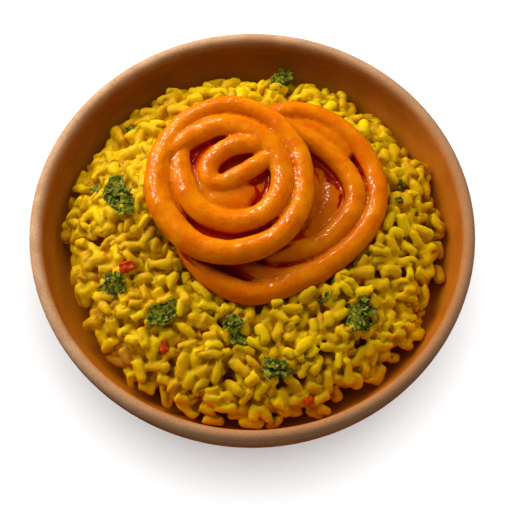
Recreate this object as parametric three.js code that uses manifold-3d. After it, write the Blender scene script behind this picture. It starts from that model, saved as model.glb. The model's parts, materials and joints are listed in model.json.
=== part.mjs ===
// A clay bowl of yellow rice with two jalebis lying on it, one leaning on the other, and torn herb leaves.
// Millimetres, +Z up. The origin is the bottom centre of the bowl, and -Y is the side that faces the eater.
import * as THREE from "three";
import { mergeVertices } from "three/addons/utils/BufferGeometryUtils.js";
import Module from "manifold-3d";

const wasm = await Module();
wasm.setup();

// ---- driving dimensions ----
const TOUCH_GAP = 0.35; // clearance between pieces that rest on each other

const BOWL_RADIUS = 75;
const BOWL_HEIGHT = 48;
const LIP_RADIUS = 2.15; // the rim is a round bead of this radius
const BOWL_OUTER_DEPTH = 50; // depth of the ellipse that the outer wall follows
const FLOOR_THICKNESS = 4;
const FOOT_EDGE = 0.8; // rounding where the wall meets the flat foot
const BOWL_SECTORS = 44;
const OUTER_WALL_HEIGHTS = [5, 12, 21, 33]; // levels at which the outer wall changes slope
const WALL_HEIGHTS = [6, 13, 22, 32]; // levels at which the inner wall and the rice against it change slope

const RICE_EDGE_RADIUS = 63.6;
const RICE_EDGE_HEIGHT = 37;
const RICE_MOUND_RISE = 11;
const RICE_MOUND_POWER = 3; // how full the mound is: 2 is a plain dome, more is flatter on top
const RICE_EDGE_UNEVEN = 1.4;
const RICE_PILE = { x: -33, y: 14, rise: 7.8, spread: 14 }; // a higher pile under the front jalebi
const RICE_SECTORS = 30;
const RICE_RINGS = [57, 49, 40, 30, 20, 10, 0]; // radii at which the top of the heap changes slope
const WALL_CLEARANCE = 1.1; // between the tips of grains and the bowl
const GROOVE_CLEARANCE = 0.9; // round the strands that have sunk into the rice
const GROOVE_STEP = 7;
const GROOVE_END = [-182, 30, -4.4, 3.5]; // the knot to which the hollow runs on past the end of the tail
const JALEBI_DEPTH = 6.3; // from the middle plane of a jalebi down to the rice under its low strands

const GRAIN_LENGTH = 7.2;
const GRAIN_HALF_WIDTH = 1.9;
const GRAIN_SIDES = 5;
const GRAIN_SHOULDER = 0.27; // share of its length from the middle to where a grain starts to narrow
const GRAIN_RISE = 0.35; // share of its half width that a grain's middle lies above the bare heap
const GRAIN_TIP = 20; // degrees out of level, at most
const GRAIN_SHIFT = 0.5; // how far a grain may lie from its place, along X and along Y
const GRAIN_OVERHANG = 0.6; // how far past the edge of the heap the middle of a grain may lie
const GRAIN_PLACES = 243; // places in the whole round heap, of which the jalebis and leaves cover many
const GRAIN_TURNS_TRIED = 6;
const GRAIN_SEED = 20117;

// Diced red chilli: [x, y, length, width, turn in degrees].
const CHILLI_DICE = [[-41.6, -14.6, 4, 2.8, 20], [-29, -40.5, 2.4, 3, 0], [18.6, -61.5, 3, 1.6, 30]];
const CHILLI_THICKNESS = 3.4;
const CHILLI_RISE = 0.3; // share of its thickness that a die's middle lies above the bare heap
const CHILLI_TIP = 8; // degrees out of level

const STRAND_SIDES = 8;
const STRAND_STEP = 4;
const STRAND_END = 0.35; // share of its width that a strand's rounded end narrows to
const LOW_STRAND_FLATNESS = 0.5; // height of a low strand for its width

const LEAF_THICKNESS = 0.9;
const LEAF_EDGE = 0.6; // thickness of a leaf's edge, as a share of its middle
const LEAF_CLEARANCE = 0.6; // between a leaf and the bare heap that it lies on
const LEAF_WAVE = 0.7;
const LEAF_LOBE = 0.24; // share by which the lobes stand out of the mean outline
const LEAF_SECTORS = 12;

const degrees = THREE.MathUtils.degToRad;

// A seeded generator, so that the heap comes out the same each time.
function seededRandom(seed) {
  let state = seed;
  return () => {
    state = (Math.imul(state, 1664525) + 1013904223) >>> 0;
    return state / 2 ** 32;
  };
}

// ---- solids ----
// A closed three.js geometry as a solid that can be joined or cut.
function solidOf(geometry) {
  const bare = geometry.index ? geometry.toNonIndexed() : geometry.clone();
  bare.deleteAttribute("normal");
  bare.deleteAttribute("uv");
  const merged = mergeVertices(bare, 1e-4);
  const corners = merged.index.array;
  const triangles = [];
  for (let i = 0; i < corners.length; i += 3) {
    const [a, b, c] = [corners[i], corners[i + 1], corners[i + 2]];
    if (a !== b && b !== c && c !== a) triangles.push(a, b, c);
  }
  const mesh = new wasm.Mesh({
    numProp: 3,
    vertProperties: new Float32Array(merged.attributes.position.array),
    triVerts: new Uint32Array(triangles),
  });
  return new wasm.Manifold(mesh);
}

// The largest body of a joined solid, without loose scraps and with sealed hollows filled.
function largestBody(solid) {
  const bodies = solid.decompose();
  return bodies.reduce((best, body) => (body.volume() > best.volume() ? body : best));
}

function geometryOf(solid) {
  const mesh = solid.getMesh();
  const positions = new Float32Array(mesh.numVert * 3);
  for (let i = 0; i < mesh.numVert; i++) {
    const start = i * mesh.numProp;
    positions.set(mesh.vertProperties.subarray(start, start + 3), i * 3);
  }
  const geometry = new THREE.BufferGeometry();
  geometry.setAttribute("position", new THREE.BufferAttribute(positions, 3));
  geometry.setIndex(new THREE.BufferAttribute(new Uint32Array(mesh.triVerts), 1));
  geometry.computeVertexNormals();
  return geometry;
}

function joined(pieces) {
  const solids = pieces.map((piece) => (piece.isBufferGeometry ? solidOf(piece) : piece));
  return geometryOf(largestBody(solids.reduce((sum, next) => sum.add(next))));
}

// A solid of revolution about Z from a profile of [radius, height] that starts and ends on the axis.
function turned(profile, sectors) {
  const points = profile.map(([radius, height]) => new THREE.Vector2(radius, height));
  return new THREE.LatheGeometry(points, sectors).rotateX(Math.PI / 2);
}

// Moves every vertex of a geometry by a rule that depends only on where it is.
function reshape(geometry, rule) {
  const position = geometry.attributes.position;
  const point = new THREE.Vector3();
  for (let i = 0; i < position.count; i++) {
    point.fromBufferAttribute(position, i);
    rule(point);
    position.setXYZ(i, point.x, point.y, point.z);
  }
  return geometry;
}

// ---- bowl ----
const lipHeight = BOWL_HEIGHT - LIP_RADIUS;
const innerRadius = BOWL_RADIUS - 2 * LIP_RADIUS;
const innerDepth = lipHeight - FLOOR_THICKNESS;

// Radius of a wall that follows an ellipse, at a height below the lip.
const ellipseRadius = (radius, depth, height) => radius * Math.sqrt(1 - ((lipHeight - height) / depth) ** 2);
const outerWallRadius = (height) => ellipseRadius(BOWL_RADIUS, BOWL_OUTER_DEPTH, height);
const innerWallRadius = (height) => ellipseRadius(innerRadius, innerDepth, height);

function bowlGeometry() {
  const footRadius = outerWallRadius(FOOT_EDGE);
  const profile = [[0, 0], [footRadius - FOOT_EDGE, 0]];
  for (const height of [FOOT_EDGE, ...OUTER_WALL_HEIGHTS]) profile.push([outerWallRadius(height), height]);
  for (let angle = 0; angle <= 180; angle += 30) {
    const across = Math.cos(degrees(angle)) * LIP_RADIUS;
    const up = Math.sin(degrees(angle)) * LIP_RADIUS;
    profile.push([BOWL_RADIUS - LIP_RADIUS + across, lipHeight + up]);
  }
  for (const height of WALL_HEIGHTS.toReversed()) profile.push([innerWallRadius(height), height]);
  profile.push([0, FLOOR_THICKNESS]);
  return turned(profile, BOWL_SECTORS);
}

// ---- jalebis ----
// Each jalebi is piped as a few strands. A strand's knots lie in the plane of its jalebi:
// [angle in degrees, radius, lift above the plane, half width]. The ring's last knot runs on into its first.
// The low strands are those that the others lie on: they are pressed flat and fill the middle.
const JALEBIS = {
  // It leans on the one behind, so it is the higher of the two.
  jalebi_front: {
    centre: [-7.1, 12.6, 58.4],
    tiltBack: 1.5,
    tiltAside: -1,
    ring: [
      [1, 24.4, 0, 3.5], [41, 24.9, 0, 3.5], [76, 26.8, 0, 3.5], [105, 26.9, 0, 3.6], [140, 25.4, 0, 3.9],
      [181, 24.5, 0, 4.6], [216, 24.7, 0, 4.5], [251, 25.9, 0, 4.3], [290, 25.7, 0, 4.2], [325, 25.1, 0, 3.8],
    ],
    strands: {
      innerRing: [
        [144, 20.3, 0.2, 3.6], [160, 17.5, 0.2, 4.3], [186, 15.7, 0.2, 4.6], [216, 15.3, 0.2, 4.3],
        [251, 15, 0, 4.1], [289, 15.9, 0, 4.1], [330, 16.9, 0, 4.2], [370, 17.4, 0, 4.2],
        [411, 17.8, 0.2, 4.2], [450, 19.3, 0.3, 4.2], [487, 20.4, 0.2, 4], [512, 22.4, 0, 3.8],
      ],
      hook: [
        [48, 17.4, 0.3, 3.1], [61, 14.1, 0.8, 3.5], [78, 12.5, 1, 3.6], [95, 11.1, 1, 3.5],
        [116, 9.8, 1, 3.4], [140, 8.9, 0.8, 3.4], [163, 7.8, 0.6, 3.3], [188, 6.3, 0.5, 3.3],
        [206, 3.7, 0.6, 3.3], [23, 2.4, 0.8, 3.3], [29, 7.4, 0.6, 3.4], [32, 14.8, 0.2, 3.2],
      ],
    },
    lowStrands: {
      coil: [
        [117, 11.3, -2, 4.4], [149, 9.6, -1.6, 4.8], [196, 8, -1.4, 5.2], [241, 7.6, -1.2, 5.3],
        [285, 7.3, -1.2, 5.2], [322, 7.8, -1.4, 4.4],
      ],
    },
  },
  // It lies flat on the rice. Its outer strand forks into a tail that runs under the front jalebi.
  jalebi_back: {
    centre: [16.1, 11.7, 50],
    tiltBack: 2,
    tiltAside: 4,
    ring: [
      [98, 30.1, 0, 3.7], [78, 29, 0, 3.8], [56, 27.4, 0, 3.8], [31, 26.4, 0, 3.8], [0, 26.2, 0, 3.8],
      [-28, 25.6, 0, 3.8], [-50, 25.6, 0, 3.8], [-72, 27.4, 0, 3.8], [-92, 29.8, -0.5, 3.9],
      [-108, 32, -1.6, 4.2], [-127, 32, -2.6, 4.2], [-154, 28.1, -3.2, 3.8], [-190, 26, -3.4, 3.7],
      [-223, 27.3, -2.8, 3.7], [-249, 29.6, -1, 3.7],
    ],
    strands: {
      innerRing: [
        [100, 24.3, 0.1, 3.5], [84, 20.5, 0.2, 4], [66, 18.2, 0.2, 4], [43, 17.3, 0.2, 3.8],
        [19, 17.9, 0.2, 3.8], [-6, 18.8, 0.2, 3.8], [-36, 18, 0.2, 3.8], [-68, 19.2, 0.1, 3.9],
        [-92, 21.3, 0, 3.9], [-112, 24.9, -0.6, 3.6],
      ],
      foldedEnd: [[92, 25.6, 0.3, 2.4], [76, 24, 0.5, 2.8], [58, 22.4, 0.5, 2.7], [43, 21.8, 0.3, 2.2]],
      tail: [
        [-63, 26.9, -0.1, 3.2], [-78, 28.8, -0.2, 3.8], [-93, 31.9, -0.3, 4], [-105, 36.4, -0.4, 3.9],
        [-115, 40.1, -0.6, 3.9], [-128, 42.1, -1.2, 4], [-142, 42.7, -2.2, 4], [-155, 41.6, -3.2, 3.9],
        [-166, 38.2, -3.6, 3.5],
      ],
    },
    lowStrands: {
      coil: [[5, 11.5, -2, 4.6], [-20, 11.4, -1.8, 5.2], [-50, 12.8, -1.6, 5.3], [-76, 15.8, -1.4, 4.8]],
      hiddenCoil: [
        [-86, 19.8, -1.2, 4], [-124, 17.7, -2, 4.6], [-165, 16.4, -2.4, 4.8], [-206, 16.4, -2.4, 4.8],
        [-241, 18.3, -1.8, 4.4], [-268, 20.5, -0.8, 4],
      ],
      bridge: [[88, 19.5, -2, 4.4], [91, 9.3, -2.6, 5.6], [12, 3.1, -2.6, 6], [-70, 7, -2.4, 5]],
    },
  },
};

// The smooth centre line through a strand's knots.
function strandPath(knots, isClosed) {
  const points = knots.map(([angle, radius, lift]) => {
    const turn = degrees(angle);
    return new THREE.Vector3(radius * Math.cos(turn), radius * Math.sin(turn), lift);
  });
  return new THREE.CatmullRomCurve3(points, isClosed, "centripetal");
}

// Evenly spaced stations along a strand: its centre, its half width and the level direction out of its bend.
// The open end of a strand is narrowed to a rounded tip.
function strandStations(knots, isClosed = false, step = STRAND_STEP) {
  const path = strandPath(knots, isClosed);
  const length = path.getLength();
  const steps = Math.round(length / step);
  const spans = isClosed ? knots.length : knots.length - 1;
  const up = new THREE.Vector3(0, 0, 1);
  return Array.from({ length: isClosed ? steps : steps + 1 }, (_, i) => {
    const along = path.getUtoTmapping(i / steps) * spans;
    const before = Math.min(Math.floor(along), spans - 1);
    const [start, end] = [knots[before][3], knots[(before + 1) % knots.length][3]];
    const halfWidth = THREE.MathUtils.lerp(start, end, along - before);
    const fromEnd = isClosed ? halfWidth : Math.min(i, steps - i) * (length / steps);
    const inward = 1 - Math.min(1, fromEnd / halfWidth);
    return {
      centre: path.getPointAt(i / steps),
      aside: path.getTangentAt(i / steps).cross(up).normalize(),
      halfWidth: halfWidth * Math.max(STRAND_END, Math.sqrt(1 - inward ** 2)),
    };
  });
}

// A tube of 1 mm radius is drawn along the path, and each of its rings is then widened about its station.
function strandGeometry(knots, { flatness = 1, clearance = 0, step = STRAND_STEP } = {}) {
  const stations = strandStations(knots, false, step);
  const corners = Array.from({ length: STRAND_SIDES }, (_, i) => {
    const turn = (i * 2 * Math.PI) / STRAND_SIDES;
    return new THREE.Vector2(Math.cos(turn), Math.sin(turn));
  });
  const tube = new THREE.ExtrudeGeometry(new THREE.Shape(corners), {
    steps: stations.length - 1,
    extrudePath: strandPath(knots, false),
    bevelEnabled: false,
  });
  return reshape(tube, (point) => {
    const nearest = stations.reduce((best, station) =>
      station.centre.distanceToSquared(point) < best.centre.distanceToSquared(point) ? station : best,
    );
    const out = point.sub(nearest.centre).multiplyScalar(nearest.halfWidth + clearance);
    out.z *= flatness;
    out.add(nearest.centre);
  });
}

// A plain torus whose sections are moved to the stations of a closed strand.
function ringGeometry(knots, { clearance = 0, step = STRAND_STEP } = {}) {
  const stations = strandStations(knots, true, step);
  const plainRadius = 10;
  const torus = new THREE.TorusGeometry(plainRadius, 1, STRAND_SIDES, stations.length);
  return reshape(torus, (point) => {
    const turn = Math.atan2(point.y, point.x) / (2 * Math.PI);
    const index = (Math.round(turn * stations.length) + stations.length) % stations.length;
    const { centre, aside, halfWidth } = stations[index];
    const out = (Math.hypot(point.x, point.y) - plainRadius) * (halfWidth + clearance);
    const rise = point.z * (halfWidth + clearance);
    point.copy(centre).addScaledVector(aside, out);
    point.z += rise;
  });
}

function jalebiMesh(name, { centre, tiltBack, tiltAside, ring, strands, lowStrands }, material) {
  const round = Object.values(strands).map((knots) => strandGeometry(knots));
  const pressed = { flatness: LOW_STRAND_FLATNESS };
  const flat = Object.values(lowStrands).map((knots) => strandGeometry(knots, pressed));
  const mesh = new THREE.Mesh(joined([ringGeometry(ring), ...round, ...flat]), material);
  mesh.name = name;
  mesh.position.set(...centre);
  mesh.rotation.set(degrees(tiltBack), degrees(tiltAside), 0);
  mesh.updateMatrixWorld();
  return mesh;
}

// The stations of the round strands in the part's own frame.
function jalebiStations(mesh, { ring, strands }) {
  return [strandStations(ring, true), ...Object.values(strands).map((knots) => strandStations(knots))]
    .flat()
    .map(({ centre, halfWidth }) => ({ centre: centre.clone().applyMatrix4(mesh.matrixWorld), halfWidth }));
}

// ---- rice ----
// How far out the uneven edge of the heap lies in a direction, as a share of its plain radius.
function outward(x, y) {
  const turn = Math.atan2(y, x);
  const bulge = 0.5 * RICE_EDGE_UNEVEN * (Math.sin(3 * turn + 0.7) + 0.7 * Math.sin(7 * turn));
  return 1 + bulge / RICE_EDGE_RADIUS;
}

// True where a place on the heap is within the ring of a jalebi.
function isUnder(x, y, { centre, ring }) {
  const [across, along] = [x - centre[0], y - centre[1]];
  const angle = THREE.MathUtils.radToDeg(Math.atan2(along, across));
  const wrapped = (turn) => THREE.MathUtils.euclideanModulo(turn + 180, 360) - 180;
  const turnTo = ([knotAngle]) => Math.abs(wrapped(knotAngle - angle));
  const nearest = ring.reduce((best, knot) => (turnTo(knot) < turnTo(best) ? knot : best));
  return Math.hypot(across, along) < nearest[1];
}

// Height of the heap before anything has sunk into it: a full dome, with the pile on its left.
function mound(x, y) {
  const radius = Math.hypot(x, y) / outward(x, y);
  const dome = RICE_MOUND_RISE * (1 - Math.min(1, radius / RICE_EDGE_RADIUS) ** RICE_MOUND_POWER);
  const fromPile = Math.hypot(x - RICE_PILE.x, y - RICE_PILE.y) / RICE_PILE.spread;
  return RICE_EDGE_HEIGHT + dome + RICE_PILE.rise * Math.exp(-(fromPile ** 2));
}

// Height of the bare heap, which dips under the jalebi that has sunk into it.
function heapHeight(x, y) {
  const height = mound(x, y);
  const { centre, tiltBack, tiltAside } = JALEBIS.jalebi_back;
  if (!isUnder(x, y, JALEBIS.jalebi_back)) return height;
  const fall = (x - centre[0]) * Math.sin(degrees(tiltAside));
  const rise = (y - centre[1]) * Math.sin(degrees(tiltBack));
  return Math.min(height, centre[2] - fall + rise - JALEBI_DEPTH);
}

function heapCore() {
  const underside = WALL_HEIGHTS.map((height) => [
    innerWallRadius(height) - 2 * TOUCH_GAP,
    height + TOUCH_GAP,
  ]);
  const top = [RICE_EDGE_RADIUS, ...RICE_RINGS].map((radius) => [radius, RICE_EDGE_HEIGHT]);
  const profile = [[0, FLOOR_THICKNESS + TOUCH_GAP], ...underside, ...top];
  return reshape(turned(profile, RICE_SECTORS), (point) => {
    if (point.z < RICE_EDGE_HEIGHT - 1) return;
    const spread = outward(point.x, point.y);
    point.x *= spread;
    point.y *= spread;
    point.z = heapHeight(point.x, point.y);
  });
}

function grainGeometry(length, halfWidth) {
  const shoulder = length * GRAIN_SHOULDER;
  const profile = [[0, -length / 2], [halfWidth, -shoulder], [halfWidth, shoulder], [0, length / 2]];
  return turned(profile, GRAIN_SIDES);
}

// True where a point is within the outline of a leaf.
function liesUnder(point, { x, y, long, wide, turn }) {
  const [c, s] = [Math.cos(degrees(turn)), Math.sin(degrees(turn))];
  const along = (point.x - x) * c + (point.y - y) * s;
  const across = (point.y - y) * c - (point.x - x) * s;
  const edge = 1 + LEAF_LOBE;
  return Math.hypot(along / (long * edge + TOUCH_GAP), across / (wide * edge + TOUCH_GAP)) < 1;
}

// True where every corner of a grain keeps clear of the bowl, the jalebis and the leaves.
function isClear(grain, stations, leaves) {
  const position = grain.attributes.position;
  const corner = new THREE.Vector3();
  for (let i = 0; i < position.count; i++) {
    corner.fromBufferAttribute(position, i);
    const radius = Math.hypot(corner.x, corner.y);
    if (radius > innerWallRadius(Math.min(corner.z, lipHeight)) - WALL_CLEARANCE) return false;
    for (const { centre, halfWidth } of stations)
      if (corner.distanceTo(centre) < halfWidth + 2 * TOUCH_GAP) return false;
    if (leaves.some((leaf) => liesUnder(corner, leaf))) return false;
  }
  return true;
}

// Grains lie in a sunflower pattern over the heap, each tipped at random, the way spooned rice falls.
function grains(stations, leaves) {
  const random = seededRandom(GRAIN_SEED);
  const within = (reach) => reach * (2 * random() - 1);
  const goldenAngle = Math.PI * (3 - Math.sqrt(5));
  const placed = [];
  for (let i = 0; i < GRAIN_PLACES; i++) {
    const radius = (RICE_EDGE_RADIUS + GRAIN_OVERHANG) * Math.sqrt((i + 0.5) / GRAIN_PLACES);
    const x = radius * Math.cos(i * goldenAngle) + within(GRAIN_SHIFT);
    const y = radius * Math.sin(i * goldenAngle) + within(GRAIN_SHIFT);
    if (Object.values(JALEBIS).some((jalebi) => isUnder(x, y, jalebi))) continue;
    const length = GRAIN_LENGTH * (1 + within(0.15));
    const halfWidth = GRAIN_HALF_WIDTH * (1 + within(0.1));
    const pitch = degrees(90 + within(GRAIN_TIP));
    const turn = random() * Math.PI;
    const height = heapHeight(x, y) + halfWidth * GRAIN_RISE;
    for (let tried = 0; tried < GRAIN_TURNS_TRIED; tried++) {
      const yaw = turn + (tried * Math.PI) / GRAIN_TURNS_TRIED;
      const grain = grainGeometry(length, halfWidth).rotateX(pitch).rotateZ(yaw).translate(x, y, height);
      if (!isClear(grain, stations, leaves)) continue;
      placed.push(grain);
      break;
    }
  }
  return placed;
}

function chilliDice() {
  return CHILLI_DICE.map(([x, y, length, width, turn]) =>
    new THREE.BoxGeometry(length, width, CHILLI_THICKNESS)
      .rotateX(degrees(CHILLI_TIP))
      .rotateZ(degrees(turn))
      .translate(x, y, heapHeight(x, y) + CHILLI_THICKNESS * CHILLI_RISE),
  );
}

// ---- herb leaves ----
// Where each torn leaf lies on the heap, its size along and across, its turn and how many lobes it has.
const LEAVES = {
  leaf_left: { x: -44.8, y: 10.5, long: 8, wide: 4.6, turn: 118, lobes: 5 },
  leaf_lower_left: { x: -47.2, y: -18.8, long: 4.6, wide: 2.8, turn: 8, lobes: 4 },
  leaf_front_left: { x: -29.4, y: -31, long: 5.4, wide: 3.8, turn: 25, lobes: 5 },
  leaf_front_middle: { x: -5.6, y: -37, long: 4.4, wide: 3.2, turn: -35, lobes: 4 },
  leaf_front_edge: { x: 7.5, y: -49.8, long: 4, wide: 2.8, turn: 15, lobes: 4 },
  leaf_front_right: { x: 36.3, y: -30, long: 5.8, wide: 4.2, turn: 60, lobes: 5 },
  leaf_back: { x: 10.4, y: 59.8, long: 3.8, wide: 3, turn: 80, lobes: 4 },
};

// A thin round disc, both faces split alike, is drawn out to lobes, laid over the heap and waved.
function leafGeometry({ x, y, long, wide, turn, lobes }) {
  const half = LEAF_THICKNESS / 2;
  const edge = half * LEAF_EDGE;
  const profile = [[0, -half], [0.5, -half], [1, -edge], [1, edge], [0.5, half], [0, half]];
  return reshape(turned(profile, LEAF_SECTORS), (point) => {
    const out = Math.hypot(point.x, point.y);
    const angle = Math.atan2(point.y, point.x);
    const lobe = 1 + LEAF_LOBE * out * Math.cos(lobes * angle);
    const along = point.x * long * lobe;
    const across = point.y * wide * lobe;
    const [c, s] = [Math.cos(degrees(turn)), Math.sin(degrees(turn))];
    point.x = x + along * c - across * s;
    point.y = y + along * s + across * c;
    const wave = LEAF_WAVE * out * (1 + Math.sin(lobes * angle + 1));
    point.z += heapHeight(point.x, point.y) + half + LEAF_CLEARANCE + wave;
  });
}

// ---- the finished dish ----
const clay = new THREE.MeshStandardMaterial({ color: "#9c6440", roughness: 0.75, metalness: 0 });
const rice = new THREE.MeshStandardMaterial({ color: "#dcae1c", roughness: 0.5, metalness: 0 });
const syrupBatter = new THREE.MeshStandardMaterial({ color: "#e0690a", roughness: 0.25, metalness: 0 });
const herb = new THREE.MeshStandardMaterial({ color: "#3d5410", roughness: 0.6, metalness: 0 });

function named(name, geometry, material) {
  const mesh = new THREE.Mesh(geometry, material);
  mesh.name = name;
  return mesh;
}

const jalebis = Object.entries(JALEBIS).map(([name, layout]) => jalebiMesh(name, layout, syrupBatter));
const stations = Object.values(JALEBIS).flatMap((layout, i) => jalebiStations(jalebis[i], layout));
const { ring: sunkRing, strands: { tail: sunkTail } } = JALEBIS.jalebi_back;
const groove = { clearance: GROOVE_CLEARANCE, step: GROOVE_STEP };
const bed = [ringGeometry(sunkRing, groove), strandGeometry([...sunkTail, GROOVE_END], groove)].reduce(
  (core, strand) => core.subtract(solidOf(strand.applyMatrix4(jalebis[1].matrixWorld))),
  solidOf(heapCore()),
);
const heap = joined([bed, ...grains(stations, Object.values(LEAVES)), ...chilliDice()]);

const dish = new THREE.Group();
dish.add(named("bowl", geometryOf(solidOf(bowlGeometry())), clay));
dish.add(named("rice_heap", heap, rice));
dish.add(...jalebis);
for (const [name, leaf] of Object.entries(LEAVES))
  dish.add(named(name, geometryOf(solidOf(leafGeometry(leaf))), herb));

export default dish;
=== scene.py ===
import json
import math

import bpy
import numpy as np
from mathutils import Euler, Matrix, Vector, noise
from mathutils.bvhtree import BVHTree
from mathutils.kdtree import KDTree

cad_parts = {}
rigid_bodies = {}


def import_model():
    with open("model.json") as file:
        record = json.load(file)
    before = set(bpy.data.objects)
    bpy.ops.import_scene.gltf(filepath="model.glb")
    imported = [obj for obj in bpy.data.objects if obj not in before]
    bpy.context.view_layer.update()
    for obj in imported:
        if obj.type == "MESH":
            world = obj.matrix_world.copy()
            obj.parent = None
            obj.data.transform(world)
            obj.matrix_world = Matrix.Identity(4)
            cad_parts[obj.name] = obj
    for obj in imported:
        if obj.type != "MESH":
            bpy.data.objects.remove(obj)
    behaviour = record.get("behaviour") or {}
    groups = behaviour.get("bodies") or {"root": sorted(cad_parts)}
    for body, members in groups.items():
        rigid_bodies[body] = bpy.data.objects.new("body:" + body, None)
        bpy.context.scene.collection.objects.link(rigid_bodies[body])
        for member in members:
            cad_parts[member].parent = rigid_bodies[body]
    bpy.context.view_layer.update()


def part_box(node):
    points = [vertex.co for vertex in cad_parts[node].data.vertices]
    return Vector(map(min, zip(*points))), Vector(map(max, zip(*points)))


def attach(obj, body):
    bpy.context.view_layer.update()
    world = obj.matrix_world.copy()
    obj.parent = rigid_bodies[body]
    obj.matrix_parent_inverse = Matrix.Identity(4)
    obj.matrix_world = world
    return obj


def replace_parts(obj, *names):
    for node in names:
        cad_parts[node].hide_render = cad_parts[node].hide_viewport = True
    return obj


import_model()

# ---- the bowl ----
# A small hand-thrown serving bowl of unglazed red clay, fired once. Its wall ends in a round bead. It is dry
# and sandy outside. Inside it is rubbed smooth, so it is darker there, more orange and a little shiny.
MM = 0.001
bowl_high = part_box("bowl")[1]
bowl_radius = bowl_high.y
bowl_height = bowl_high.z
lip_radius = 2.15 * MM
outer_depth = 50 * MM
floor_thickness = 4 * MM
foot_edge = 0.8 * MM
foot_ring_share = 0.6
lip_height = bowl_height - lip_radius
inner_radius = bowl_radius - 2 * lip_radius
inner_depth = lip_height - floor_thickness
wall_steps = 26
bead_steps = 14
bowl_turns = 144
weld_distance = 0.001 * MM


def outer_wall_radius(height):
    return bowl_radius * math.sqrt(1 - ((lip_height - height) / outer_depth) ** 2)


def inner_wall_radius(height):
    down = min(1.0, max(0.0, lip_height - height) / inner_depth)
    return inner_radius * math.sqrt(1 - down ** 2)


def start_from_point(name, x, z):
    """A mesh of one vertex in edit mode, ready to be drawn out to a profile."""
    bpy.ops.object.select_all(action="DESELECT")
    bpy.ops.mesh.primitive_plane_add(size=MM)
    piece = bpy.context.object
    piece.name = piece.data.name = name
    bpy.ops.object.mode_set(mode="EDIT")
    bpy.ops.mesh.select_all(action="SELECT")
    bpy.ops.mesh.merge(type="CENTER")
    bpy.ops.transform.translate(value=(x, 0, z))
    return piece


def turn_profile(name, profile, turns):
    """A closed solid turned about Z, from a profile of (radius, height) that starts and ends on the axis."""
    piece = start_from_point(name, *profile[0])
    for (radius, height), (next_radius, next_height) in zip(profile, profile[1:]):
        move = (next_radius - radius, 0, next_height - height)
        bpy.ops.mesh.extrude_region_move(TRANSFORM_OT_translate={"value": move})
    bpy.ops.mesh.select_all(action="SELECT")
    bpy.ops.mesh.spin(steps=turns, angle=math.tau, center=(0, 0, 0), axis=(0, 0, 1))
    bpy.ops.mesh.select_all(action="SELECT")
    bpy.ops.mesh.remove_doubles(threshold=weld_distance)
    bpy.ops.mesh.normals_make_consistent(inside=False)
    bpy.ops.object.mode_set(mode="OBJECT")
    bpy.ops.object.shade_smooth()
    return piece


foot_radius = outer_wall_radius(foot_edge)
bead_centre = bowl_radius - lip_radius
bowl_profile = [(0, 0), (foot_ring_share * foot_radius, 0), (foot_radius - foot_edge, 0)]
for i in range(wall_steps):
    height = foot_edge + (lip_height - foot_edge) * i / wall_steps
    bowl_profile.append((outer_wall_radius(height), height))
for i in range(bead_steps + 1):
    turn = math.pi * i / bead_steps
    bowl_profile.append((bead_centre + lip_radius * math.cos(turn), lip_height + lip_radius * math.sin(turn)))
for i in range(1, wall_steps):
    turn = 0.5 * math.pi * i / wall_steps
    bowl_profile.append((inner_radius * math.cos(turn), lip_height - inner_depth * math.sin(turn)))
bowl_profile.append((0, floor_thickness))
bowl = turn_profile("clay_bowl", bowl_profile, bowl_turns)


def paint(red, green, blue):
    """A colour as seen on a screen, 0 to 255, as the linear colour that a material takes."""
    seen = (red, green, blue)
    return tuple(((v / 255 + 0.055) / 1.055) ** 2.4 if v > 10 else v / 255 / 12.92 for v in seen) + (1,)


class Tone:
    """A number or colour that a material works out. Arithmetic on it adds Math nodes."""

    def __init__(self, finish, socket):
        self.finish = finish
        self.socket = socket

    def math(self, operation, first, second=0.0):
        return self.finish.add("Math", {"operation": operation}, {0: first, 1: second})

    def __add__(self, other):
        return self.math("ADD", self, other)

    def __sub__(self, other):
        return self.math("SUBTRACT", self, other)

    def __rsub__(self, other):
        return self.math("SUBTRACT", other, self)

    def __mul__(self, other):
        return self.math("MULTIPLY", self, other)

    def __truediv__(self, other):
        return self.math("DIVIDE", self, other)

    def __pow__(self, power):
        return self.math("POWER", self, power)

    def clamped(self):
        return self.finish.add("Clamp", {}, {"Value": self})

    __radd__ = __add__
    __rmul__ = __mul__


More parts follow.
